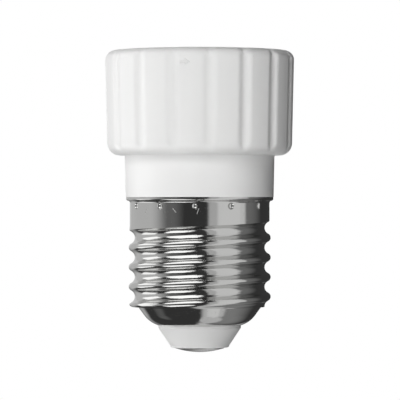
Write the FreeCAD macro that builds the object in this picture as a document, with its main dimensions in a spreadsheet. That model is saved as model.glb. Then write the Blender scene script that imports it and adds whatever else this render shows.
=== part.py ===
import FreeCAD, Part
import math
import os
import Sketcher

from FreeCAD import Placement, Rotation, Vector

# Lamp socket adapter: a screw cap below and a twist-lock pin socket above.
# Millimetres, +Z up along the screw axis. The origin is the lowest point of the centre contact.
# The front, as photographed, faces -Y.

DRIVING_SIZES = {
    # Head of the housing
    "overall_height": 55.7,
    "head_bottom_level": 36.35,
    "head_top_radius": 17.45,
    "head_bottom_radius": 17.1,
    "rim_rounding": 1.7,
    "head_corner_rounding": 2.3,
    "flute_count": 16,
    "flute_angle": -84.1,
    "flute_depth": 0.4,
    "flute_arc_radius": 1.8,
    "flute_edge_rounding": 1.6,
    # Neck and spigot of the housing
    "neck_top_radius": 13.84,
    "neck_bottom_radius": 13.68,
    "shoulder_level": 28.65,
    "spigot_length": 3.0,
    "spigot_chamfer": 0.4,
    "core_tube_radius": 11.3,
    "core_tube_bore_radius": 9.7,
    "core_tube_level": 18.0,
    "neck_bore_radius": 11.0,
    "carrier_seat_thickness": 2.2,
    "carrier_bore_radius": 13.5,
    "pillar_radius": 2.4,
    "pillar_offset": 11.2,
    "lead_slot_width": 2.6,
    # Recess and face disc of the pin socket
    "recess_radius": 14.7,
    "recess_depth": 5.0,
    "face_thickness": 2.0,
    "face_seat_radius": 14.3,
    "pin_circle_radius": 5.0,
    "pin_entry_radius": 3.1,
    "pin_slot_width": 3.6,
    "pin_entry_angle": 22.0,
    "pin_turn_angle": 35.0,
    # Contact carrier
    "carrier_floor_thickness": 2.0,
    "chamber_half_width": 3.3,
    "chamber_front_angle": 26.0,
    "chamber_rear_angle": 40.0,
    # Spring contacts
    "strip_thickness": 0.35,
    "strip_top_gap": 1.85,
    "strip_lift": 1.2,
    "outer_leg_radius": 8.05,
    "inner_leg_radius": 7.15,
    "outer_leg_start": 15.0,
    "hairpin_angle": 35.0,
    "inner_leg_end": 4.0,
    "foot_half_angle": 9.0,
    "tail_radius": 3.6,
    "tail_width": 2.0,
    "tail_reach": 3.0,
    "rivet_circle_radius": 6.1,
    "rivet_shank_radius": 0.7,
    "rivet_head_radius": 1.2,
    "rivet_head_height": 0.4,
    # Screws
    "screw_length": 9.0,
    "screw_radius": 1.1,
    "screw_head_radius": 2.1,
    "screw_head_height": 1.1,
    "screw_recess_width": 0.6,
    "screw_recess_length": 2.5,
    "screw_recess_depth": 0.7,
    # Screw shell
    "sheet_thickness": 0.3,
    "band_radius": 12.92,
    "thread_crest_radius": 13.13,
    "thread_root_radius": 12.0,
    "thread_pitch": 3.629,
    "thread_crest_rounding": 0.75,
    "crest_land": 0.3,
    "thread_turns": 5.0,
    "runout_turns": 0.3,
    "thread_top_level": 22.95,
    "band_lower_level": 23.4,
    "crest_upper_level": 21.0,
    "lip_radius": 13.62,
    "lip_edge_height": 0.3,
    "lip_rounding": 0.4,
    "ledge_level": 8.35,
    "ledge_rounding": 0.75,
    "bowl_top_radius": 11.4,
    "bowl_lower_radius": 10.35,
    "bowl_lower_level": 6.9,
    "bowl_rounding": 5.1,
    "bowl_mouth_radius": 7.7,
    "bowl_bottom_level": 4.95,
    "dimple_count": 12,
    "dimple_angle": -94.0,
    "dimple_drop": 1.65,
    "dimple_radius": 0.62,
    "dimple_depth": 0.35,
    # Tip insulator
    "tip_top_radius": 7.62,
    "tip_land_height": 0.5,
    "tip_end_radius": 5.45,
    "tip_end_level": 0.85,
    "tip_end_rounding": 0.35,
    "tip_groove_radius": 7.2,
    "tip_flange_radius": 7.6,
    "tip_flange_thickness": 1.2,
    "tip_hub_radius": 3.2,
    "tip_hub_level": 9.0,
    # Centre contact
    "contact_dome_radius": 4.6,
    "contact_rim_height": 0.12,
    "contact_shank_radius": 1.3,
    "contact_bore_radius": 0.5,
    "contact_shank_level": 10.0,
    # Leads
    "core_radius": 0.4,
    "insulation_radius": 0.85,
    "insulation_gap": 1.15,
    "line_knee_level": 27.0,
    "line_lower_knee_level": 17.0,
    "line_insulation_end": 12.0,
    "line_core_end": 3.0,
    "neutral_knee_level": 29.5,
    "neutral_lower_knee": 7.6,
    "neutral_insulation_end": 10.2,
    "neutral_reach": 12.1,
    "crimp_bore_radius": 1.15,
    "crimp_wall": 0.3,
    "crimp_length": 2.2,
    "solder_radius": 0.95,
    # Clearances
    "face_clearance": 0.1,
    "carrier_clearance": 0.12,
    "spigot_clearance": 0.06,
    "pillar_clearance": 0.2,
    "hole_clearance": 0.15,
    "tip_clearance": 0.05,
    "lead_clearance": 0.05,
    "cutter_overrun": 1.0,
}

SHEET = "Sizes"

# Share of the shorter run beside a bend that the bend of a lead takes up
BEND_SHARE = 0.45


class Size:
    """A length or angle with the formula that gives it, so that a sketch can be bound to the sheet."""

    def __init__(self, value, formula):
        self.value = float(value)
        self.formula = formula

    def __add__(self, other):
        other = as_size(other)
        return Size(self.value + other.value, f"({self.formula} + {other.formula})")

    def __sub__(self, other):
        other = as_size(other)
        return Size(self.value - other.value, f"({self.formula} - {other.formula})")

    def __mul__(self, other):
        other = as_size(other)
        return Size(self.value * other.value, f"({self.formula} * {other.formula})")

    def __truediv__(self, other):
        other = as_size(other)
        return Size(self.value / other.value, f"({self.formula} / {other.formula})")

    def __neg__(self):
        return Size(-self.value, f"(0 - {self.formula})")

    __radd__ = __add__
    __rmul__ = __mul__

    def __rsub__(self, other):
        return as_size(other) - self


def as_size(number):
    return number if isinstance(number, Size) else Size(number, repr(float(number)))


def root(size):
    return Size(math.sqrt(size.value), f"sqrt({size.formula})")


def cosine(angle):
    return Size(math.cos(math.radians(angle.value)), f"cos({angle.formula} * 1 deg)")


def sine(angle):
    return Size(math.sin(math.radians(angle.value)), f"sin({angle.formula} * 1 deg)")


ZERO = as_size(0)
PAIR = as_size(2)


def make_sheet(doc):
    sheet = doc.addObject("Spreadsheet::Sheet", SHEET)
    for row, (name, number) in enumerate(DRIVING_SIZES.items(), start=1):
        sheet.set(f"A{row}", name)
        sheet.set(f"B{row}", str(number))
        sheet.setAlias(f"B{row}", name)
    doc.recompute()
    return sheet


class Sizes:
    """Every driving size of the sheet, as an attribute of its own name."""

    def __init__(self, sheet):
        for name in DRIVING_SIZES:
            setattr(self, name, Size(sheet.get(name), f"{SHEET}.{name}"))


# Sketches and features

def origin_part(body, role):
    return next(part for part in body.Origin.OriginFeatures if part.Role == role)


def new_sketch(body, name, plane="XZ_Plane", lift=None):
    sketch = body.newObject("Sketcher::SketchObject", name)
    sketch.AttachmentSupport = [(origin_part(body, plane), "")]
    sketch.MapMode = "FlatFace"
    if lift is not None:
        sketch.setExpression("AttachmentOffset.Base.z", lift.formula)
    return sketch


def bind(sketch, kind, geometry, point, size):
    """Hold one coordinate of a sketch point at a size: kind is DistanceX or DistanceY."""
    if size.formula == ZERO.formula:
        axis = -2 if kind == "DistanceX" else -1
        sketch.addConstraint(Sketcher.Constraint("PointOnObject", geometry, point, axis))
        return
    index = sketch.addConstraint(
        Sketcher.Constraint(kind, -1, 1, geometry, point, size.value))
    sketch.setExpression(f"Constraints[{index}]", size.formula)


def outline(sketch, points):
    """Draw one closed outline. A point is (x, y), and (x, y, radius, side) ends an arc that comes
    from the point before it: side is 1 where the arc bulges to the right of the way, -1 to the left."""
    first = None
    previous = None
    for number, point in enumerate(points):
        start = points[number - 1]
        a = Vector(start[0].value, start[1].value, 0)
        b = Vector(point[0].value, point[1].value, 0)
        if len(point) == 4:
            radius, side = point[2], point[3]
            chord = b - a
            sagitta = radius.value - math.sqrt(max(radius.value ** 2 - chord.Length ** 2 / 4, 0))
            right = Vector(chord.y, -chord.x, 0).normalize()
            middle = (a + b) / 2 + right * sagitta * side
            edge = sketch.addGeometry(Part.Arc(a, middle, b))
        else:
            edge = sketch.addGeometry(Part.LineSegment(a, b))
        starts_at_a = sketch.getPoint(edge, 1).distanceToPoint(a) < sketch.getPoint(edge, 2).distanceToPoint(a)
        head, tail = (1, 2) if starts_at_a else (2, 1)
        if previous is not None:
            sketch.addConstraint(Sketcher.Constraint("Coincident", previous[0], previous[1], edge, head))
        else:
            first = (edge, head)
        previous = (edge, tail)
        bind(sketch, "DistanceX", edge, tail, point[0])
        bind(sketch, "DistanceY", edge, tail, point[1])
        if len(point) == 4:
            index = sketch.addConstraint(Sketcher.Constraint("Radius", edge, radius.value))
            sketch.setExpression(f"Constraints[{index}]", radius.formula)
    sketch.addConstraint(Sketcher.Constraint("Coincident", previous[0], previous[1], first[0], first[1]))
    return sketch


def circle(sketch, x, y, radius):
    edge = sketch.addGeometry(Part.Circle(Vector(x.value, y.value, 0), Vector(0, 0, 1), radius.value))
    bind(sketch, "DistanceX", edge, 3, x)
    bind(sketch, "DistanceY", edge, 3, y)
    index = sketch.addConstraint(Sketcher.Constraint("Radius", edge, radius.value))
    sketch.setExpression(f"Constraints[{index}]", radius.formula)
    return sketch


def turned(body, sketch, name="Turned"):
    """Revolve an outline in the XZ plane about the Z axis."""
    feature = body.newObject("PartDesign::Revolution", name)
    feature.Profile = sketch
    feature.ReferenceAxis = (sketch, ["V_Axis"])
    feature.Angle = 360
    return feature


def padded(body, sketch, height, name="Pad"):
    feature = body.newObject("PartDesign::Pad", name)
    feature.Profile = sketch
    feature.setExpression("Length", height.formula)
    return feature


def pocketed(body, sketch, depth=None, name="Pocket"):
    """Cut down from a sketch that looks up: to a depth, or through everything."""
    feature = body.newObject("PartDesign::Pocket", name)
    feature.Profile = sketch
    if depth is None:
        feature.Type = "ThroughAll"
        feature.Midplane = True
    else:
        feature.setExpression("Length", depth.formula)
    return feature


def patterned(body, features, count, name="Pattern"):
    """Repeat features round the Z axis."""
    feature = body.newObject("PartDesign::PolarPattern", name)
    feature.Originals = features
    feature.Axis = (origin_part(body, "Z_Axis"), [""])
    feature.Angle = 360
    feature.setExpression("Occurrences", count.formula)
    body.Tip = feature
    return feature


def new_body(doc, label):
    body = doc.addObject("PartDesign::Body", label + "_body")
    body.Label = label
    return body


# Levels and radii that several pieces share

class Layout:
    def __init__(self, z):
        self.recess_floor = z.overall_height - z.recess_depth
        self.face_seat = self.recess_floor - z.face_thickness
        self.carrier_seat = z.head_bottom_level + z.carrier_seat_thickness
        self.carrier_top = self.face_seat - z.face_clearance
        self.chamber_floor = self.carrier_seat + z.carrier_floor_thickness
        self.strip_height = self.carrier_top - self.chamber_floor - z.strip_lift - z.strip_top_gap
        self.tail_end = self.carrier_seat - z.tail_reach
        self.insulation_start = self.tail_end - z.insulation_gap
        self.spigot_end = z.shoulder_level - z.spigot_length
        self.spigot_radius = z.band_radius - z.sheet_thickness - z.spigot_clearance
        self.lip_step = (z.lip_radius - z.band_radius) / 2
        rest = z.lip_rounding - self.lip_step
        self.lip_rise = root(z.lip_rounding * z.lip_rounding - rest * rest)
        self.lip_top = z.shoulder_level - z.lip_edge_height
        self.lip_middle = self.lip_top - self.lip_rise
        self.lip_foot = self.lip_middle - self.lip_rise
        self.dimple_ball = (z.dimple_radius * z.dimple_radius + z.dimple_depth * z.dimple_depth) / (
            z.dimple_depth * 2)
        self.dimple_level = z.shoulder_level - z.dimple_drop
        self.dimple_centre = z.band_radius - z.dimple_depth + self.dimple_ball
        self.mouth_hole = z.tip_groove_radius + z.tip_clearance
        self.thread_depth = z.thread_crest_radius - z.thread_root_radius
        half_pitch = z.thread_pitch / 2
        self.rounding_sum = (half_pitch * half_pitch + self.thread_depth * self.thread_depth) / (
            self.thread_depth * 2)
        self.crimp_axis = z.tail_radius + z.strip_thickness / 2 + z.core_radius / 2
        self.joint_level = (self.spigot_end + z.band_lower_level) / 2
        self.core_axis = z.tail_radius + z.strip_thickness + z.core_radius + z.lead_clearance


# The housing: fluted head, neck, spigot and core tube in one moulding

def panel_radius(z, level):
    """Radius of the drafted side of the head at a level."""
    lower = z.head_bottom_level + z.head_corner_rounding
    upper = z.overall_height - z.rim_rounding
    draft = (z.head_top_radius - z.head_bottom_radius) / (upper - lower)
    return z.head_bottom_radius + draft * (level - lower)


def flute_axis(z, level):
    return panel_radius(z, level) - z.flute_depth + z.flute_arc_radius


def flute_edges(shape, z):
    """Edges where the flutes meet the head: all their points lie on a flute's own cylinder."""
    step = 2 * math.pi / z.flute_count.value
    start = math.radians(z.flute_angle.value)
    names = []
    for number, edge in enumerate(shape.Edges, start=1):
        first, last = edge.ParameterRange
        on_flute = True
        for share in (0.1, 0.5, 0.9):
            point = edge.valueAt(first + (last - first) * share)
            angle = math.atan2(point.y, point.x)
            nearest = start + step * round((angle - start) / step)
            axis = flute_axis(z, as_size(point.z)).value
            centre = Vector(axis * math.cos(nearest), axis * math.sin(nearest), point.z)
            if abs(point.distanceToPoint(centre) - z.flute_arc_radius.value) > 0.01:
                on_flute = False
        if on_flute:
            names.append(f"Edge{number}")
    return names


def make_housing(doc, z, at):
    body = new_body(doc, "housing")
    head = new_sketch(body, "HeadOutline")
    outline(head, [
        (z.recess_radius, z.overall_height),
        (z.recess_radius, at.recess_floor),
        (z.face_seat_radius, at.recess_floor),
        (z.face_seat_radius, at.face_seat),
        (z.carrier_bore_radius, at.face_seat),
        (z.carrier_bore_radius, at.carrier_seat),
        (z.neck_bore_radius, at.carrier_seat),
        (z.neck_bore_radius, z.shoulder_level),
        (z.core_tube_bore_radius, at.spigot_end),
        (z.core_tube_bore_radius, z.core_tube_level),
        (z.core_tube_radius, z.core_tube_level),
        (z.core_tube_radius, at.spigot_end),
        (at.spigot_radius - z.spigot_chamfer, at.spigot_end),
        (at.spigot_radius, at.spigot_end + z.spigot_chamfer),
        (at.spigot_radius, z.shoulder_level),
        (z.neck_bottom_radius, z.shoulder_level),
        (z.neck_top_radius, z.head_bottom_level),
        (z.head_bottom_radius - z.head_corner_rounding, z.head_bottom_level),
        (z.head_bottom_radius, z.head_bottom_level + z.head_corner_rounding, z.head_corner_rounding, 1),
        (z.head_top_radius, z.overall_height - z.rim_rounding),
        (z.head_top_radius - z.rim_rounding, z.overall_height, z.rim_rounding, 1),
    ])
    turned(body, head, "HeadTurned")

    pillars = new_sketch(body, "PillarOutline", "XY_Plane", at.carrier_seat)
    circle(pillars, ZERO, z.pillar_offset, z.pillar_radius)
    circle(pillars, ZERO, -z.pillar_offset, z.pillar_radius)
    padded(body, pillars, at.face_seat - at.carrier_seat, "Pillars")
    pilots = new_sketch(body, "PilotOutline", "XY_Plane", at.face_seat)
    circle(pilots, ZERO, z.pillar_offset, z.screw_radius + z.lead_clearance)
    circle(pilots, ZERO, -z.pillar_offset, z.screw_radius + z.lead_clearance)
    pocketed(body, pilots, z.screw_length - z.face_thickness + z.pillar_clearance, "PilotHoles")

    slot = new_sketch(body, "LeadSlotOutline", "XY_Plane", z.core_tube_level)
    half = z.lead_slot_width / 2
    outline(slot, [
        (-z.core_tube_radius - z.cutter_overrun, -half),
        (-z.core_tube_bore_radius + z.cutter_overrun, -half),
        (-z.core_tube_bore_radius + z.cutter_overrun, half),
        (-z.core_tube_radius - z.cutter_overrun, half),
    ])
    cut = pocketed(body, slot, at.spigot_end - z.core_tube_level, "LeadSlot")
    cut.Reversed = True

    doc.recompute()
    dimple = add_dimple(body, z, at, at.dimple_ball + z.sheet_thickness + z.spigot_clearance)
    patterned(body, [dimple], z.dimple_count, "StakingPockets")

    low = z.head_bottom_level - z.cutter_overrun
    high = z.overall_height + z.cutter_overrun
    ends = []
    for name, level in (("FluteLowEnd", low), ("FluteHighEnd", high)):
        end = new_sketch(body, name, "XY_Plane", level)
        axis = flute_axis(z, level)
        circle(end, axis * cosine(z.flute_angle), axis * sine(z.flute_angle), z.flute_arc_radius)
        ends.append(end)
    flute = body.newObject("PartDesign::SubtractiveLoft", "Flute")
    flute.Profile = ends[0]
    flute.Sections = [ends[1]]
    flute.Ruled = True
    flutes = patterned(body, [flute], z.flute_count, "Flutes")
    doc.recompute()
    soft = body.newObject("PartDesign::Fillet", "SoftFluteEdges")
    soft.Base = (flutes, flute_edges(flutes.Shape, z))
    soft.setExpression("Radius", z.flute_edge_rounding.formula)
    return body


def add_dimple(body, z, at, ball_radius):
    """A round dent pushed in from outside, below the lip of the shell."""
    ball = body.newObject("PartDesign::SubtractiveSphere", "Dimple")
    ball.setExpression("Radius", ball_radius.formula)
    ball.setExpression("Placement.Base.x", (at.dimple_centre * cosine(z.dimple_angle)).formula)
    ball.setExpression("Placement.Base.y", (at.dimple_centre * sine(z.dimple_angle)).formula)
    ball.setExpression("Placement.Base.z", at.dimple_level.formula)
    return ball


# The screw shell: one sheet, spun and rolled

def cut_thread(doc, body, z, at, inset):
    """Roll the thread into a turned blank. The root is one arc and the crest another, tangent to it;
    inset is 0 for the outside of the sheet and its thickness for the inside."""
    crest_rounding = z.thread_crest_rounding - inset
    root_rounding = at.rounding_sum - z.thread_crest_rounding + inset
    root_centre = z.thread_root_radius + at.rounding_sum - z.thread_crest_rounding
    crest_centre = z.thread_crest_radius - z.thread_crest_rounding
    meeting_radius = root_centre + (crest_centre - root_centre) * root_rounding / at.rounding_sum
    meeting_height = z.thread_pitch / 2 * root_rounding / at.rounding_sum
    land = z.crest_land / 2
    crest_end = root(crest_rounding * crest_rounding - land * land)
    mouth_height = z.thread_pitch / 2 - land
    outside = z.thread_crest_radius + z.cutter_overrun

    def groove(name, level):
        sketch = new_sketch(body, name)
        outline(sketch, [
            (outside, level - mouth_height),
            (outside, level + mouth_height),
            (crest_centre + crest_end, level + mouth_height),
            (meeting_radius, level + meeting_height, crest_rounding, -1),
            (meeting_radius, level - meeting_height, root_rounding, 1),
            (crest_centre + crest_end, level - mouth_height, crest_rounding, -1),
        ])
        return sketch

    start = z.thread_top_level - z.thread_pitch * z.thread_turns
    thread = body.newObject("PartDesign::SubtractiveHelix", "Thread")
    thread.Profile = (groove("ThreadOutline", start), [""])
    thread.ReferenceAxis = (thread.Profile[0], ["V_Axis"])
    thread.Mode = "pitch-turns-angle"
    thread.setExpression("Pitch", z.thread_pitch.formula)
    thread.setExpression("Turns", z.thread_turns.formula)
    doc.recompute()
    runout = body.newObject("PartDesign::SubtractiveHelix", "ThreadRunout")
    runout.Profile = (groove("RunoutOutline", z.thread_top_level), [""])
    runout.ReferenceAxis = (runout.Profile[0], ["V_Axis"])
    runout.Mode = "height-turns-growth"
    runout.setExpression("Height", (z.thread_pitch * z.runout_turns).formula)
    runout.setExpression("Turns", z.runout_turns.formula)
    runout.setExpression("Growth", ((at.thread_depth + z.sheet_thickness) / z.runout_turns).formula)
    doc.recompute()


def make_shell(doc, z, at):
    outer = new_body(doc, "shell_outside")
    sketch = new_sketch(outer, "ShellOutside")
    outline(sketch, [
        (ZERO, z.bowl_bottom_level),
        (z.bowl_mouth_radius, z.bowl_bottom_level),
        (z.bowl_lower_radius, z.bowl_lower_level, z.bowl_rounding, 1),
        (z.bowl_top_radius, z.ledge_level),
        (z.thread_crest_radius - z.ledge_rounding, z.ledge_level),
        (z.thread_crest_radius, z.ledge_level + z.ledge_rounding, z.ledge_rounding, 1),
        (z.thread_crest_radius, z.crest_upper_level),
        (z.band_radius, z.band_lower_level),
        (z.band_radius, at.lip_foot),
        (z.band_radius + at.lip_step, at.lip_middle, z.lip_rounding, -1),
        (z.lip_radius, at.lip_top, z.lip_rounding, 1),
        (z.lip_radius, z.shoulder_level),
        (ZERO, z.shoulder_level),
    ])
    turned(outer, sketch, "ShellBlank")
    cut_thread(doc, outer, z, at, ZERO)
    dimple = add_dimple(outer, z, at, at.dimple_ball)
    patterned(outer, [dimple], z.dimple_count, "Dimples")

    wall = z.sheet_thickness
    run = z.bowl_top_radius - z.bowl_lower_radius
    rise = z.ledge_level - z.bowl_lower_level
    slant = root(run * run + rise * rise)
    inner = new_body(doc, "shell_inside")
    sketch = new_sketch(inner, "ShellInside")
    lean = (z.lip_rounding - at.lip_step) / z.lip_rounding
    outline(sketch, [
        (ZERO, z.bowl_bottom_level - z.cutter_overrun),
        (at.mouth_hole, z.bowl_bottom_level - z.cutter_overrun),
        (at.mouth_hole, z.bowl_bottom_level + wall),
        (z.bowl_mouth_radius - wall / 4, z.bowl_bottom_level + wall),
        (z.bowl_lower_radius - wall * rise / slant, z.bowl_lower_level + wall * run / slant,
         z.bowl_rounding - wall, 1),
        (z.bowl_top_radius - wall * rise / slant + (wall - wall * run / slant) * run / rise,
         z.ledge_level + wall),
        (z.thread_crest_radius - z.ledge_rounding, z.ledge_level + wall),
        (z.thread_crest_radius - wall, z.ledge_level + z.ledge_rounding, z.ledge_rounding - wall, 1),
        (z.thread_crest_radius - wall, z.crest_upper_level),
        (z.band_radius - wall, z.band_lower_level),
        (z.band_radius - wall, at.lip_foot),
        (z.band_radius + at.lip_step - wall * lean, at.lip_middle + wall * at.lip_rise / z.lip_rounding,
         z.lip_rounding + wall, -1),
        (z.lip_radius - wall, at.lip_top, z.lip_rounding - wall, 1),
        (z.lip_radius - wall, z.shoulder_level + z.cutter_overrun),
        (ZERO, z.shoulder_level + z.cutter_overrun),
    ])
    turned(inner, sketch, "CavityBlank")
    cut_thread(doc, inner, z, at, wall)
    dimple = add_dimple(inner, z, at, at.dimple_ball + wall)
    patterned(inner, [dimple], z.dimple_count, "DimpleBacks")
    doc.recompute()

    shell = doc.addObject("Part::Cut", "screw_shell_cut")
    shell.Label = "screw_shell"
    shell.Base = outer
    shell.Tool = inner
    return shell


def make_tip_insulator(doc, z, at):
    body = new_body(doc, "tip_insulator")
    sketch = new_sketch(body, "TipOutline")
    hole = z.contact_shank_radius + z.tip_clearance
    flange_foot = z.bowl_bottom_level + z.sheet_thickness
    flange_top = flange_foot + z.tip_flange_thickness
    outline(sketch, [
        (hole, z.tip_end_level),
        (z.tip_end_radius - z.tip_end_rounding, z.tip_end_level),
        (z.tip_end_radius, z.tip_end_level + z.tip_end_rounding, z.tip_end_rounding, 1),
        (z.tip_top_radius, z.bowl_bottom_level - z.tip_land_height),
        (z.tip_top_radius, z.bowl_bottom_level),
        (z.tip_groove_radius, z.bowl_bottom_level),
        (z.tip_groove_radius, flange_foot),
        (z.tip_flange_radius, flange_foot),
        (z.tip_flange_radius, flange_top),
        (z.tip_hub_radius, flange_top),
        (z.tip_hub_radius, z.tip_hub_level),
        (hole, z.tip_hub_level),
    ])
    turned(body, sketch, "TipTurned")
    return body


def make_centre_contact(doc, z, at):
    body = new_body(doc, "centre_contact")
    sketch = new_sketch(body, "ContactOutline")
    rise = z.tip_end_level - z.contact_rim_height
    dome = (z.contact_dome_radius * z.contact_dome_radius + rise * rise) / (rise * 2)
    outline(sketch, [
        (ZERO, ZERO),
        (z.contact_dome_radius, rise, dome, 1),
        (z.contact_dome_radius, z.tip_end_level),
        (z.contact_shank_radius, z.tip_end_level),
        (z.contact_shank_radius, z.contact_shank_level),
        (z.contact_bore_radius, z.contact_shank_level),
        (z.contact_bore_radius, z.line_core_end),
        (ZERO, z.line_core_end),
    ])
    turned(body, sketch, "ContactTurned")
    return body


# The pin socket: face disc, contact carrier and contacts

def ring_sector(sketch, inner, outer, start, end):
    """A sector of a ring with square ends, from the start angle round to the end angle."""
    return outline(sketch, [
        (inner * cosine(start), inner * sine(start), inner, -1),
        (outer * cosine(start), outer * sine(start)),
        (outer * cosine(end), outer * sine(end), outer, 1),
        (inner * cosine(end), inner * sine(end)),
    ])


def beyond(radius, angle, reach):
    """A point that lies past a radial line by a reach, square to it: a positive reach goes round."""
    return (radius * cosine(angle) - reach * sine(angle), radius * sine(angle) + reach * cosine(angle))


def bent_slot(sketch, centre, half_width, start, end):
    """A slot that follows a circle about the origin, with round ends, from start round to end."""
    inner = centre - half_width
    outer = centre + half_width
    return outline(sketch, [
        beyond(inner, start, ZERO) + (inner, -1),
        beyond(centre, start, -half_width) + (half_width, 1),
        beyond(outer, start, ZERO) + (half_width, 1),
        beyond(outer, end, ZERO) + (outer, 1),
        beyond(centre, end, half_width) + (half_width, 1),
        beyond(inner, end, ZERO) + (half_width, 1),
    ])


def make_socket_face(doc, z, at):
    body = new_body(doc, "socket_face")
    disc = new_sketch(body, "DiscOutline", "XY_Plane", at.face_seat)
    circle(disc, ZERO, ZERO, z.face_seat_radius - z.face_clearance)
    padded(body, disc, z.face_thickness, "Disc")
    holes = new_sketch(body, "EntryOutline", "XY_Plane", at.recess_floor)
    circle(holes, z.pin_circle_radius * cosine(z.pin_entry_angle),
           z.pin_circle_radius * sine(z.pin_entry_angle), z.pin_entry_radius)
    entry = pocketed(body, holes, z.face_thickness, "PinEntry")
    slot = new_sketch(body, "SlotOutline", "XY_Plane", at.recess_floor)
    bent_slot(slot, z.pin_circle_radius, z.pin_slot_width / 2,
              z.pin_entry_angle - z.pin_turn_angle, z.pin_entry_angle)
    turn = pocketed(body, slot, z.face_thickness, "PinSlot")
    patterned(body, [entry, turn], PAIR, "PinPair")
    heads = new_sketch(body, "HeadSeatOutline", "XY_Plane", at.recess_floor)
    holes = new_sketch(body, "ScrewHoleOutline", "XY_Plane", at.recess_floor)
    for side in (z.pillar_offset, -z.pillar_offset):
        circle(heads, ZERO, side, z.screw_head_radius + z.hole_clearance)
        circle(holes, ZERO, side, z.screw_radius + z.hole_clearance)
    pocketed(body, heads, z.screw_head_height, "HeadSeats")
    pocketed(body, holes, z.face_thickness, "ScrewHoles")
    return body


def make_carrier(doc, z, at):
    body = new_body(doc, "contact_carrier")
    disc = new_sketch(body, "CarrierOutline", "XY_Plane", at.carrier_seat)
    circle(disc, ZERO, ZERO, z.carrier_bore_radius - z.carrier_clearance)
    padded(body, disc, at.carrier_top - at.carrier_seat, "CarrierBlock")
    scallops = new_sketch(body, "ScallopOutline", "XY_Plane", at.carrier_top)
    for side in (z.pillar_offset, -z.pillar_offset):
        circle(scallops, ZERO, side, z.pillar_radius + z.pillar_clearance)
    pocketed(body, scallops, at.carrier_top - at.carrier_seat, "PillarScallops")
    chamber = new_sketch(body, "ChamberOutline", "XY_Plane", at.carrier_top)
    bent_slot(chamber, z.pin_circle_radius, z.chamber_half_width,
              -z.chamber_rear_angle, z.chamber_front_angle)
    room = pocketed(body, chamber, at.carrier_top - at.chamber_floor, "Chamber")
    slit = new_sketch(body, "TailSlitOutline", "XY_Plane", at.chamber_floor)
    half = z.tail_width / 2 + z.hole_clearance
    outline(slit, [
        (z.tail_radius - z.hole_clearance, -half),
        (z.tail_radius + z.strip_thickness + z.hole_clearance, -half),
        (z.tail_radius + z.strip_thickness + z.hole_clearance, half),
        (z.tail_radius - z.hole_clearance, half),
    ])
    tail = pocketed(body, slit, z.carrier_floor_thickness, "TailSlit")
    hole = new_sketch(body, "RivetHoleOutline", "XY_Plane", at.chamber_floor)
    circle(hole, z.rivet_circle_radius, ZERO, z.rivet_shank_radius + z.lead_clearance)
    rivet = pocketed(body, hole, z.carrier_floor_thickness, "RivetHole")
    patterned(body, [room, tail, rivet], PAIR, "ContactSeats")
    return body


def turned_over(item, halves):
    """Turn a piece about the Z axis by a number of half turns."""
    item.Placement = Placement(Vector(0, 0, 0), Rotation(Vector(0, 0, 1), 180 * halves))
    return item


def make_contact(doc, z, at, label, halves):
    """One strip: a hairpin spring that grips the pin, a riveted foot, and a tail for the lead."""
    body = new_body(doc, label)
    half = z.strip_thickness / 2
    outer_leg = z.outer_leg_radius
    inner_leg = z.inner_leg_radius
    bend = (outer_leg - inner_leg) / 2
    turn = -z.hairpin_angle
    begin = z.outer_leg_start
    finish = -z.inner_leg_end
    legs = new_sketch(body, "HairpinOutline", "XY_Plane", at.chamber_floor + z.strip_lift)

    middle = (outer_leg + inner_leg) / 2
    outline(legs, [
        beyond(outer_leg - half, begin, ZERO) + (outer_leg - half, 1),
        beyond(outer_leg + half, begin, ZERO),
        beyond(outer_leg + half, turn, ZERO) + (outer_leg + half, -1),
        beyond(middle, turn, -bend - half) + (bend + half, -1),
        beyond(inner_leg - half, turn, ZERO) + (bend + half, -1),
        beyond(inner_leg - half, finish, ZERO) + (inner_leg - half, 1),
        beyond(inner_leg + half, finish, ZERO),
        beyond(inner_leg + half, turn, ZERO) + (inner_leg + half, -1),
        beyond(middle, turn, half - bend) + (bend - half, 1),
        beyond(outer_leg - half, turn, ZERO) + (bend - half, 1),
    ])
    padded(body, legs, at.strip_height, "Hairpin")

    riser = new_sketch(body, "RiserOutline", "XY_Plane", at.chamber_floor)
    ring_sector(riser, outer_leg - half, outer_leg + half, -z.foot_half_angle, z.foot_half_angle)
    padded(body, riser, z.strip_lift, "Riser")
    foot = new_sketch(body, "FootOutline", "XY_Plane", at.chamber_floor)
    width = outer_leg * sine(z.foot_half_angle)
    outline(foot, [
        (z.tail_radius, -width),
        (outer_leg, -width),
        (outer_leg, width),
        (z.tail_radius, width),
    ])
    padded(body, foot, z.strip_thickness, "Foot")
    hole = new_sketch(body, "FootHoleOutline", "XY_Plane", at.chamber_floor + z.strip_thickness)
    circle(hole, z.rivet_circle_radius, ZERO, z.rivet_shank_radius + z.lead_clearance)
    pocketed(body, hole, z.strip_thickness, "FootHole")
    tail = new_sketch(body, "TailOutline", "XY_Plane", at.tail_end)
    outline(tail, [
        (z.tail_radius, -z.tail_width / 2),
        (z.tail_radius + z.strip_thickness, -z.tail_width / 2),
        (z.tail_radius + z.strip_thickness, z.tail_width / 2),
        (z.tail_radius, z.tail_width / 2),
    ])
    padded(body, tail, at.chamber_floor - at.tail_end + z.strip_thickness / 2, "Tail")
    return turned_over(body, halves)


# Fasteners and leads, in pairs of separate solids

def pair_of(doc, label, make_one):
    """Two like solids, half a turn apart, in one node."""
    pieces = [turned_over(make_one(number), number) for number in range(2)]
    pair = doc.addObject("Part::Compound", label + "_pair")
    pair.Label = label
    pair.Links = pieces
    return pair


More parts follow.
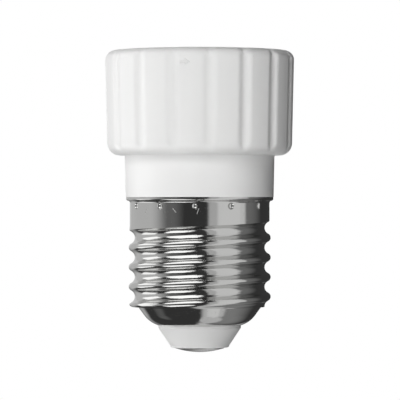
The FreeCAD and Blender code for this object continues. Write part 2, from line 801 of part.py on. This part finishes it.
def make_rivets(doc, z, at):
    def one(number):
        body = new_body(doc, f"rivet_{number}")
        sketch = new_sketch(body, "RivetOutline")
        shank = z.rivet_shank_radius
        head = z.rivet_head_radius
        foot_top = at.chamber_floor + z.strip_thickness
        axis = z.rivet_circle_radius
        outline(sketch, [
            (axis, at.carrier_seat - z.rivet_head_height),
            (axis + head, at.carrier_seat - z.rivet_head_height),
            (axis + head, at.carrier_seat),
            (axis + shank, at.carrier_seat),
            (axis + shank, foot_top),
            (axis + head, foot_top),
            (axis + head, foot_top + z.rivet_head_height),
            (axis, foot_top + z.rivet_head_height),
        ])
        feature = turned(body, sketch, "RivetTurned")
        feature.ReferenceAxis = (sketch, ["Edge1"])
        return body
    return pair_of(doc, "contact_rivets", one)


def make_screws(doc, z, at):
    def one(number):
        body = new_body(doc, f"screw_{number}")
        head = new_sketch(body, "ScrewHead", "XY_Plane", at.recess_floor - z.screw_head_height)
        circle(head, ZERO, z.pillar_offset, z.screw_head_radius)
        padded(body, head, z.screw_head_height, "Head")
        shank = new_sketch(body, "ScrewShank", "XY_Plane", at.recess_floor - z.screw_length)
        circle(shank, ZERO, z.pillar_offset, z.screw_radius)
        padded(body, shank, z.screw_length - z.screw_head_height / 2, "Shank")
        cross = new_sketch(body, "ScrewCross", "XY_Plane", at.recess_floor)
        wide = z.screw_recess_width / 2
        long = z.screw_recess_length / 2
        y = z.pillar_offset
        outline(cross, [
            (-long, y - wide), (-wide, y - wide), (-wide, y - long), (wide, y - long),
            (wide, y - wide), (long, y - wide), (long, y + wide), (wide, y + wide),
            (wide, y + long), (-wide, y + long), (-wide, y + wide), (-long, y + wide),
        ])
        pocketed(body, cross, z.screw_recess_depth, "Cross")
        return body
    return pair_of(doc, "face_screws", one)


def make_crimps(doc, z, at):
    def one(number):
        body = new_body(doc, f"crimp_{number}")
        ring = new_sketch(body, "CrimpOutline", "XY_Plane", at.tail_end + z.lead_clearance)
        circle(ring, at.crimp_axis, ZERO, z.crimp_bore_radius)
        circle(ring, at.crimp_axis, ZERO, z.crimp_bore_radius + z.crimp_wall)
        padded(body, ring, z.crimp_length, "Crimp")
        return body
    return pair_of(doc, "lead_crimps", one)


def bend_radii(points):
    """The largest tangent arcs that the runs of a route leave room for."""
    radii = []
    for before, knee, after in zip(points, points[1:], points[2:]):
        shorter = min((knee - before).Length, (after - knee).Length)
        turn = (knee - before).getAngle(after - knee)
        radii.append(BEND_SHARE * shorter / math.tan(turn / 2))
    return radii


def route_wire(points, radii):
    """Straight runs joined by tangent arcs."""
    edges = []
    here = points[0]
    for before, knee, after, radius in zip(points, points[1:], points[2:], radii):
        came = (knee - before).normalize()
        goes = (after - knee).normalize()
        turn = came.getAngle(goes)
        reach = radius * math.tan(turn / 2)
        first = knee - came * reach
        last = knee + goes * reach
        inward = (goes - came).normalize()
        middle = knee + inward * (radius / math.cos(turn / 2) - radius)
        edges.append(Part.LineSegment(here, first).toShape())
        edges.append(Part.Arc(first, middle, last).toShape())
        here = last
    edges.append(Part.LineSegment(here, points[-1]).toShape())
    return Part.Wire(edges)


def swept_round(points, radii, radius):
    wire = route_wire(points, radii)
    ring = Part.Circle(points[0], points[1] - points[0], radius).toShape()
    return wire.makePipeShell([Part.Wire(ring)], True, True), wire.Length


def make_lead(doc, z, name, knees, cover_start, cover_end, halves):
    """A solid copper core along the whole route and the insulation over its middle part."""
    route = [Vector(x.value, 0, level.value) for x, level in knees]
    radii = bend_radii(route)
    core, length = swept_round(route, radii, z.core_radius.value)
    covered = [Vector(*cover_start)] + route[1:-1] + [Vector(*cover_end)]
    outside, covered_length = swept_round(covered, radii, z.insulation_radius.value)
    bore, _ = swept_round(covered, radii, z.core_radius.value + z.lead_clearance.value)
    print(name, "lead", round(length, 1), "mm long, radii", [round(radius, 1) for radius in radii])
    for label, shape in ((name + "_core", core), (name + "_insulation", outside.cut(bore))):
        piece = doc.addObject("Part::Feature", label)
        piece.Label = label
        piece.Shape = shape
        turned_over(piece, halves)


def make_leads(doc, z, at):
    top = at.tail_end + z.crimp_length
    line = [
        (at.core_axis, top),
        (at.core_axis, z.line_knee_level),
        (ZERO, z.line_lower_knee_level),
        (ZERO, z.line_core_end),
    ]
    axis = at.core_axis.value
    start = (axis, 0, at.insulation_start.value)
    make_lead(doc, z, "line", line, start, (0, 0, z.line_insulation_end.value), 0)
    neutral = [
        (at.core_axis, top),
        (at.core_axis, z.neutral_knee_level),
        (z.neutral_lower_knee, at.joint_level),
        (z.neutral_reach, at.joint_level),
    ]
    finish = (z.neutral_insulation_end.value, 0, at.joint_level.value)
    make_lead(doc, z, "neutral", neutral, start, finish, 1)


def make_solder(doc, z, at):
    """The joint of the neutral lead: a bead that sits against the inside of the shell's plain band."""
    bead = doc.addObject("Part::Sphere", "solder_bead")
    bead.setExpression("Radius", z.solder_radius.formula)
    bead.setExpression("Placement.Base.x", (-z.neutral_reach).formula)
    bead.setExpression("Placement.Base.z", at.joint_level.formula)
    room = doc.addObject("Part::Cylinder", "band_room")
    room.setExpression("Radius", (z.band_radius - z.sheet_thickness).formula)
    room.setExpression("Height", z.shoulder_level.formula)
    seated = doc.addObject("Part::Common", "seated_bead")
    seated.Base = bead
    seated.Tool = room
    joint = doc.addObject("Part::Cut", "shell_solder_cut")
    joint.Label = "shell_solder"
    joint.Base = seated
    joint.Tool = doc.getObjectsByLabel("neutral_core")[0]
    return joint


def check_and_write(doc, pieces):
    broken = [item.Name for item in doc.Objects if "Invalid" in item.State or "Error" in item.State]
    if broken:
        raise RuntimeError(f"these objects failed: {broken}")
    for label in pieces:
        piece = doc.getObjectsByLabel(label)[0]
        if piece.Shape.isNull() or not piece.Shape.isValid():
            raise RuntimeError(f"{label} has no valid shape")
    os.makedirs("parts", exist_ok=True)
    for label in pieces:
        shape = doc.getObjectsByLabel(label)[0].Shape
        shape.exportStep(f"parts/{label}.step")
        print(label, len(shape.Solids), "solid,", round(shape.Volume, 1), "mm3,", len(shape.Faces), "faces")


PIECES = [
    "housing", "screw_shell", "tip_insulator", "centre_contact",
    "socket_face", "contact_carrier", "line_contact", "neutral_contact",
    "contact_rivets", "face_screws", "lead_crimps",
    "line_core", "line_insulation", "neutral_core", "neutral_insulation", "shell_solder",
]


def main():
    doc = FreeCAD.newDocument("lamp_socket_adapter")
    z = Sizes(make_sheet(doc))
    at = Layout(z)
    make_housing(doc, z, at)
    make_shell(doc, z, at)
    make_tip_insulator(doc, z, at)
    make_centre_contact(doc, z, at)
    make_socket_face(doc, z, at)
    make_carrier(doc, z, at)
    make_contact(doc, z, at, "line_contact", 0)
    make_contact(doc, z, at, "neutral_contact", 1)
    make_rivets(doc, z, at)
    make_screws(doc, z, at)
    make_crimps(doc, z, at)
    make_leads(doc, z, at)
    make_solder(doc, z, at)
    doc.recompute()
    check_and_write(doc, PIECES)


main()
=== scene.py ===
import bpy
import math
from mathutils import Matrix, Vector

# Lamp socket adapter: screw cap below, socket for two pins above. It hangs in the air, held by its cap.
# Metres, in the frame of the CAD model: +Z up along the screw axis, front at -Y.

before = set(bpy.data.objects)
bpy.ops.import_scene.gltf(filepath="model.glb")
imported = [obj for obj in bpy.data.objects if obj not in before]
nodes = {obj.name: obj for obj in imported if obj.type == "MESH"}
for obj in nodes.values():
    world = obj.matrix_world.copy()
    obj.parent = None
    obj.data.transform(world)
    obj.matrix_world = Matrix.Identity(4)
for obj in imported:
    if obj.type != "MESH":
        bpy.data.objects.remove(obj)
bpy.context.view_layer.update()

MM = 0.001

# Camera: level, in front of the adapter, a little above half its height
CAMERA_DISTANCE = 0.6
CAMERA_HEIGHT = 28.1 * MM
CAMERA_ASIDE = 0.06 * MM
FIELD_WIDTH = 74.0 * MM
SENSOR_WIDTH = 36.0
CLIP = (0.01, 100)


def toward(azimuth, elevation):
    """Unit vector from the adapter: azimuth 0 faces the camera and 90 faces +X, in degrees."""
    a, e = math.radians(azimuth), math.radians(elevation)
    return Vector((math.sin(a) * math.cos(e), -math.cos(a) * math.cos(e), math.sin(e)))


def add_camera():
    camera = bpy.data.objects.new("camera", bpy.data.cameras.new("camera"))
    bpy.context.scene.collection.objects.link(camera)
    camera.location = (CAMERA_ASIDE, -CAMERA_DISTANCE, CAMERA_HEIGHT)
    camera.rotation_euler = (math.pi / 2, 0, 0)
    camera.data.sensor_width = SENSOR_WIDTH
    camera.data.lens = SENSOR_WIDTH * CAMERA_DISTANCE / FIELD_WIDTH
    camera.data.clip_start, camera.data.clip_end = CLIP
    bpy.context.scene.camera = camera


# Node helpers

class Tree:
    """Short calls for building a node tree."""

    def __init__(self, tree):
        self.tree = tree

    def node(self, kind, values=None, **settings):
        made = self.tree.nodes.new(kind)
        for name, value in settings.items():
            setattr(made, name, value)
        for socket, value in (values or {}).items():
            self.put(made.inputs[socket], value)
        return made

    def put(self, socket, value):
        """Link a socket to an input, or set its value: one number fills a vector."""
        if isinstance(value, bpy.types.NodeSocket):
            self.tree.links.new(value, socket)
        elif hasattr(socket.default_value, "__len__") and not hasattr(value, "__len__"):
            socket.default_value = [value] * len(socket.default_value)
        else:
            socket.default_value = value

    def math(self, operation, *values):
        made = self.node("ShaderNodeMath", operation=operation)
        for socket, value in zip(made.inputs, values):
            self.put(socket, value)
        return made.outputs[0]

    def ranged(self, value, low, high, to_low=0.0, to_high=1.0):
        """Smooth step from to_low to to_high while the value goes from low to high."""
        made = self.node("ShaderNodeMapRange", interpolation_type="SMOOTHSTEP", clamp=True)
        for name, put in (("Value", value), ("From Min", low), ("From Max", high),
                          ("To Min", to_low), ("To Max", to_high)):
            self.put(made.inputs[name], put)
        return made.outputs["Result"]

    def vector(self, operation, first, second, output):
        made = self.node("ShaderNodeVectorMath", {0: first, 1: second}, operation=operation)
        return made.outputs[output]

    def noise(self, vector, scale, detail=2.0, roughness=0.5):
        made = self.node("ShaderNodeTexNoise", {"Vector": vector, "Scale": scale, "Detail": detail,
                                                "Roughness": roughness})
        return made.outputs["Fac"]

    def stretched(self, vector, scale):
        return self.node("ShaderNodeMapping", {"Vector": vector, "Scale": scale}).outputs[0]

    def tinted(self, factor, dark, light):
        """Colour between a dark and a light one."""
        made = self.node("ShaderNodeMix", data_type="RGBA")
        self.put(made.inputs["Factor"], factor)
        self.put(made.inputs["A"], (*dark, 1))
        self.put(made.inputs["B"], (*light, 1))
        return made.outputs["Result"]


# Studio: the world shows white to the camera, and soft panels to shiny surfaces

# Azimuth as middle, half width and softness, elevation the same way, in degrees; then brightness
PANELS = [
    ((45, 31, 4), (-23, 56, 8), 0.50),
    ((51, 26, 9), (-16, 62, 8), 0.72),
    ((58, 24, 9), (50, 26, 8), 0.68),
    ((60, 26, 8), (-54, 14, 6), 0.58),
    ((62, 20, 5), (-1, 3, 1.5), 0.66),
    ((80, 32, 26), (0, 74, 10), 0.18),
    ((95, 85, 14), (-82, 18, 5), 0.56),
    ((112, 56, 20), (-62, 26, 18), 0.25),
    ((-116, 52, 26), (3, 26, 6), 0.58),
    ((-52, 22, 16), (4, 20, 14), 0.15),
    ((-37, 29, 4), (46, 25, 5), 1.5),
    ((-33, 36, 4), (43, 12, 6), 1.5),
    ((-46, 22, 4), (-42, 16, 3), 1.5),
    ((-41, 27, 4), (-40, 8, 4), 1.5),
    ((-20, 12, 4), (-49, 9, 3), 1.1),
    ((-105, 23, 4), (24, 12, 4), 1.4),
    ((-107, 21, 4), (-23, 10, 4), 1.3),
    ((-135, 25, 8), (44, 12, 6), 0.72),
    ((-118, 12, 8), (-48, 10, 8), 0.12),
    ((-166, 16, 6), (38, 44, 6), 0.62),
    ((176, 7, 4), (-44, 27, 8), 0.62),
]
STUDIO_DARK = 0.042
AMBIENT = 0.03


def soft_band(t, distance, half_width, softness, level):
    """The level within half a width of the middle, falling to 0 over the softness on either side."""
    return t.ranged(distance, math.radians(half_width - softness), math.radians(half_width + softness),
                    level, 0.0)


def add_world():
    world = bpy.data.worlds.new("studio")
    bpy.context.scene.world = world
    world.use_nodes = True
    world.node_tree.nodes.clear()
    t = Tree(world.node_tree)
    direction = t.node("ShaderNodeSeparateXYZ",
                       {"Vector": t.node("ShaderNodeTexCoord").outputs["Generated"]}).outputs
    azimuth = t.math("ARCTAN2", direction["X"], t.math("MULTIPLY", direction["Y"], -1.0))
    elevation = t.math("ARCSINE", direction["Z"])
    light = STUDIO_DARK
    for (turn, half_width, turn_softness), (rise, half_height, rise_softness), brightness in PANELS:
        aside = t.math("SUBTRACT", azimuth, math.radians(turn))
        aside = t.math("ABSOLUTE", t.math("WRAP", aside, math.pi, -math.pi))
        above = t.math("ABSOLUTE", t.math("SUBTRACT", elevation, math.radians(rise)))
        width = soft_band(t, aside, half_width, turn_softness, brightness)
        height = soft_band(t, above, half_height, rise_softness, 1.0)
        light = t.math("MAXIMUM", light, t.math("MULTIPLY", width, height))
    path = t.node("ShaderNodeLightPath").outputs
    shiny, plain, white = [t.node("ShaderNodeBackground", {"Strength": strength, "Color": (1, 1, 1, 1)})
                           for strength in (light, AMBIENT, 1.0)]
    lit = t.node("ShaderNodeMixShader", {0: path["Is Glossy Ray"], 1: plain.outputs[0], 2: shiny.outputs[0]})
    straight = t.math("MAXIMUM", path["Is Camera Ray"], path["Is Transmission Ray"])
    seen = t.node("ShaderNodeMixShader", {0: straight, 1: lit.outputs[0], 2: white.outputs[0]})
    t.node("ShaderNodeOutputWorld", {"Surface": seen.outputs[0]})


# Light strips for the white walls: azimuth and elevation in degrees, level on a white wall that faces the
# strip, and its width and half height in metres
STRIPS = {
    "front": (-10, 0, 0.58, 0.12, 0.48),
    "above": (-25, 34, 0.16, 0.12, 0.05),
    "front_right": (38, 0, 0.13, 0.14, 0.48),
    "left": (-101, 0, 0.66, 0.24, 0.48),
    "back": (176, 0, 0.60, 0.24, 0.40),
}
STRIP_DISTANCE = 0.5


def strip_power(level, width, half_height):
    """Watts that give a wall at the middle of the strip this level, where 1 shows a white as white."""
    reach = half_height / (STRIP_DISTANCE ** 2 + half_height ** 2)
    spread = math.atan(half_height / STRIP_DISTANCE) / STRIP_DISTANCE
    radiance = math.pi * level / (width * (reach + spread))
    return math.pi * width * 2 * half_height * radiance


def add_lamps():
    middle = Vector((0, 0, CAMERA_HEIGHT))
    for name, (azimuth, elevation, level, width, half_height) in STRIPS.items():
        lamp = bpy.data.lights.new(name, "AREA")
        lamp.shape = "RECTANGLE"
        lamp.size = width
        lamp.size_y = 2 * half_height
        lamp.energy = strip_power(level, width, half_height)
        item = bpy.data.objects.new(name, lamp)
        bpy.context.scene.collection.objects.link(item)
        way = toward(azimuth, elevation)
        item.location = middle + way * STRIP_DISTANCE
        item.rotation_euler = way.to_track_quat("Z", "Y").to_euler()
        item.visible_camera = False
        item.visible_glossy = False


FLOOR_LEVEL = -0.5
FLOOR_HALF = 3.0
FLOOR_GREY = (0.8, 0.8, 0.8, 1)


def add_floor():
    mesh = bpy.data.meshes.new("floor")
    corners = [(x * FLOOR_HALF, y * FLOOR_HALF, FLOOR_LEVEL) for x, y in ((-1, -1), (1, -1), (1, 1), (-1, 1))]
    mesh.from_pydata(corners, [], [(0, 1, 2, 3)])
    floor = bpy.data.objects.new("floor", mesh)
    bpy.context.scene.collection.objects.link(floor)
    material = bpy.data.materials.new("floor")
    material.use_nodes = True
    material.node_tree.nodes.clear()
    t = Tree(material.node_tree)
    path = t.node("ShaderNodeLightPath").outputs
    lit = t.node("ShaderNodeBsdfDiffuse", {"Color": FLOOR_GREY})
    glow = t.node("ShaderNodeEmission", {"Color": (1, 1, 1, 1), "Strength": 1.0})
    mixed = t.node("ShaderNodeMixShader", {0: path["Is Camera Ray"], 1: lit.outputs[0], 2: glow.outputs[0]})
    t.node("ShaderNodeOutputMaterial", {"Surface": mixed.outputs[0]})
    mesh.materials.append(material)
    floor.visible_glossy = False


# Materials: heights in a bump are multiples of its distance, which is in metres

PLASTIC_BUMP = 4e-6
PLASTIC_CLOUD = 0.975
PLASTIC_IOR = 1.48
SINK_HEIGHT = 3.0
RIDGE_HEIGHT = 21.0

METAL_BUMP = 2e-6
METAL_CLOUD = 0.93
METAL_SPREAD = 0.06
SPECK_DULLED, SPECK_HEIGHT = 0.15, 0.6
WAVE_HEIGHT = 4.0
SCRATCH_DULLED, SCRATCH_HEIGHT = 0.4, -12.0
WORN_DULLED, WORN_HEIGHT = 0.12, -3.0


def new_material(name):
    """An empty material with its shader, and the place on the piece in metres."""
    material = bpy.data.materials.new(name)
    material.use_nodes = True
    material.node_tree.nodes.clear()
    t = Tree(material.node_tree)
    shader = t.node("ShaderNodeBsdfPrincipled")
    t.node("ShaderNodeOutputMaterial", {"Surface": shader.outputs[0]})
    place = t.node("ShaderNodeTexCoord").outputs["Object"]
    return material, t, shader, place


def raised(t, shader, height, distance):
    bump = t.node("ShaderNodeBump", {"Height": height, "Distance": distance, "Strength": 1.0})
    t.put(shader.inputs["Normal"], bump.outputs[0])


def line_mask(t, place, start, end, width):
    """Mask of a fine line between two points, with its half width, in millimetres."""
    along = Vector(end) - Vector(start)
    away = t.vector("SUBTRACT", place, Vector(start) * MM, "Vector")
    share = t.vector("DOT_PRODUCT", away, along / (along.length_squared * MM), "Value")
    share = t.math("MINIMUM", t.math("MAXIMUM", share, 0.0), 1.0)
    nearest = t.node("ShaderNodeVectorMath", {0: along * MM, "Scale": share}, operation="SCALE")
    gap = t.vector("DISTANCE", away, nearest.outputs["Vector"], "Value")
    return t.ranged(gap, 0.0, width * MM, 1.0, 0.0)


def plastic(name, color, roughness=0.38, ridges=()):
    """Moulded plastic: slight cloudiness in the colour, a fine skin, soft sink waves and moulded ridges."""
    material, t, shader, place = new_material(name)
    cloud = t.noise(place, 90.0, 3.0)
    t.put(shader.inputs["Base Color"], t.tinted(cloud, [c * PLASTIC_CLOUD for c in color], color))
    handled = t.ranged(t.noise(place, 400.0), 0.3, 0.7, roughness - 0.04, roughness + 0.05)
    t.put(shader.inputs["Roughness"], handled)
    t.put(shader.inputs["IOR"], PLASTIC_IOR)
    skin = t.noise(place, 1500.0, 3.0, 0.6)
    sink = t.noise(place, 160.0, 1.0)
    outline = 0.0
    for ridge in ridges:
        outline = t.math("MAXIMUM", outline, line_mask(t, place, *ridge))
    height = t.math("MULTIPLY_ADD", sink, SINK_HEIGHT, skin)
    height = t.math("MULTIPLY_ADD", outline, RIDGE_HEIGHT, height)
    raised(t, shader, height, PLASTIC_BUMP)
    return material


def worn_patch(t, place, middle, reach, size):
    """Mask of scattered specks within reach of a point, in millimetres."""
    gap = t.vector("DISTANCE", place, Vector(middle) * MM, "Value")
    specks = t.ranged(t.noise(place, 1 / (size * MM), 1.0), 0.6, 0.7)
    return t.math("MULTIPLY", specks, t.ranged(gap, 0.4 * reach * MM, reach * MM, 1.0, 0.0))


def metal(name, color, roughness, marks=0.35, scratches=(), worn=()):
    """Bright metal: fine marks round the axis, faint waviness, small scratches and worn patches."""
    material, t, shader, place = new_material(name)
    t.put(shader.inputs["Metallic"], 1.0)
    cloud = t.noise(place, 180.0, 4.0, 0.6)
    t.put(shader.inputs["Base Color"], t.tinted(cloud, [c * METAL_CLOUD for c in color], color))
    lines = t.noise(t.stretched(place, (120.0, 120.0, 9000.0)), 1.0, 2.0)
    specks = t.ranged(t.noise(place, 2600.0, 2.0, 0.7), 0.62, 0.72)
    rough = t.math("MULTIPLY_ADD", t.noise(place, 700.0, 3.0), METAL_SPREAD, roughness - METAL_SPREAD / 2)
    rough = t.math("MULTIPLY_ADD", specks, SPECK_DULLED, rough)
    height = t.math("MULTIPLY", t.noise(place, 260.0, 1.0), WAVE_HEIGHT)
    height = t.math("MULTIPLY_ADD", specks, SPECK_HEIGHT, height)
    height = t.math("MULTIPLY_ADD", lines, marks, height)
    masks = [(line_mask(t, place, *line), SCRATCH_DULLED, SCRATCH_HEIGHT) for line in scratches]
    masks += [(worn_patch(t, place, *patch), WORN_DULLED, WORN_HEIGHT) for patch in worn]
    for mask, dulled, depth in masks:
        rough = t.math("MULTIPLY_ADD", mask, dulled, rough)
        height = t.math("MULTIPLY_ADD", mask, depth, height)
    t.put(shader.inputs["Roughness"], rough)
    raised(t, shader, height, METAL_BUMP)
    return material


# Small moulded arrow on the front of the head: outline about its middle, in millimetres
ARROW = [(-0.8, 0.2), (0.05, 0.2), (0.05, 0.5), (0.8, 0), (0.05, -0.5), (0.05, -0.2), (-0.8, -0.2)]
ARROW_MIDDLE = (-2.7, 52.95)
ARROW_LINE = 0.13
HEAD_RADIUS = 17.4


def on_head(x, z):
    """Point on the front of the head, from a point of the arrow's outline."""
    x += ARROW_MIDDLE[0]
    return (x, -math.sqrt(HEAD_RADIUS ** 2 - x ** 2), ARROW_MIDDLE[1] + z)


ARROW_RIDGES = [(on_head(*start), on_head(*end), ARROW_LINE) for start, end in zip(ARROW, ARROW[1:])]

# Scratches on the shell as start, end and half width, and worn patches as middle, reach and size of a speck,
# all in millimetres
SCRATCHES = [
    ((-4.91, -11.95, 26.56), (-4.31, -12.18, 25.91), 0.13),
    ((-0.14, -12.92, 26.50), (-0.43, -12.91, 25.67), 0.11),
    ((-9.62, -8.62, 26.4), (-9.9, -8.3, 25.6), 0.10),
]
WORN = [((-4.4, -12.0, 25.6), 3.2, 0.5)]

WHITE = (0.84, 0.84, 0.835)
FINISHES = {
    "housing": plastic("white_moulding", WHITE, ridges=ARROW_RIDGES),
    "tip_insulator": plastic("tip_moulding", (0.75, 0.75, 0.745), 0.45),
    "socket_face": plastic("face_moulding", (0.82, 0.82, 0.81), 0.42),
    "contact_carrier": plastic("carrier_moulding", (0.76, 0.75, 0.71), 0.5),
    "screw_shell": metal("nickel_sheet", (0.70, 0.70, 0.69), 0.085, 0.2, scratches=SCRATCHES, worn=WORN),
    "centre_contact": metal("contact_nickel", (0.60, 0.60, 0.59), 0.22),
    "line_contact": metal("spring_bronze", (0.75, 0.55, 0.30), 0.2),
    "neutral_contact": metal("spring_bronze_b", (0.75, 0.55, 0.30), 0.2),
    "contact_rivets": metal("rivet_steel", (0.6, 0.61, 0.62), 0.3),
    "face_screws": metal("screw_zinc", (0.63, 0.64, 0.66), 0.28),
    "lead_crimps": metal("crimp_tin", (0.6, 0.6, 0.6), 0.3),
    "line_core": metal("line_copper", (0.72, 0.42, 0.26), 0.25),
    "neutral_core": metal("neutral_copper", (0.72, 0.42, 0.26), 0.25),
    "line_insulation": plastic("line_sleeve", (0.72, 0.72, 0.70), 0.5),
    "neutral_insulation": plastic("neutral_sleeve", (0.72, 0.72, 0.70), 0.5),
    "shell_solder": metal("solder_bead", (0.55, 0.55, 0.55), 0.35),
}


def dress_nodes():
    for name, material in FINISHES.items():
        mesh = nodes[name].data
        mesh.materials.clear()
        mesh.materials.append(material)


add_camera()
add_world()
add_lamps()
add_floor()
dress_nodes()

bpy.context.scene.view_settings.view_transform = "Standard"
